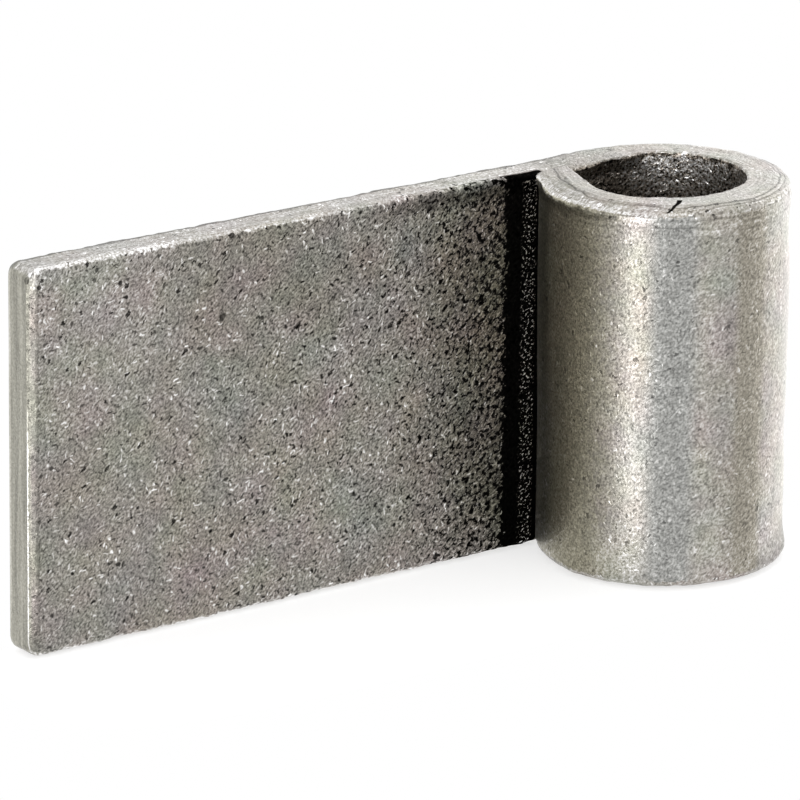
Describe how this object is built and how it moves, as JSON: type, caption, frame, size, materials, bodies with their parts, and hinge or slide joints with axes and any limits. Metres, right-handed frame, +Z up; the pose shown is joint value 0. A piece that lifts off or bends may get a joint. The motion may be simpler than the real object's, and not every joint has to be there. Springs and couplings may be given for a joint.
{
  "type": "weld-on barrel hinge leaf",
  "caption": "Flat steel leaf rolled into a pin barrel at its end, welded on by its flat back, with an open seam where the roll closes.",
  "frame": {"origin": "middle of the bore", "axes": "+Z up the bore, the leaf reaches out along -X, its weld face looks along +Y"},
  "size_m": [0.0955, 0.029, 0.0454],
  "materials": {
    "bare_steel": "bare hot-rolled steel, tumbled, satin"
  },
  "bodies": {
    "root": {"hinge_leaf": "bare_steel"}
  },
  "joints": []
}
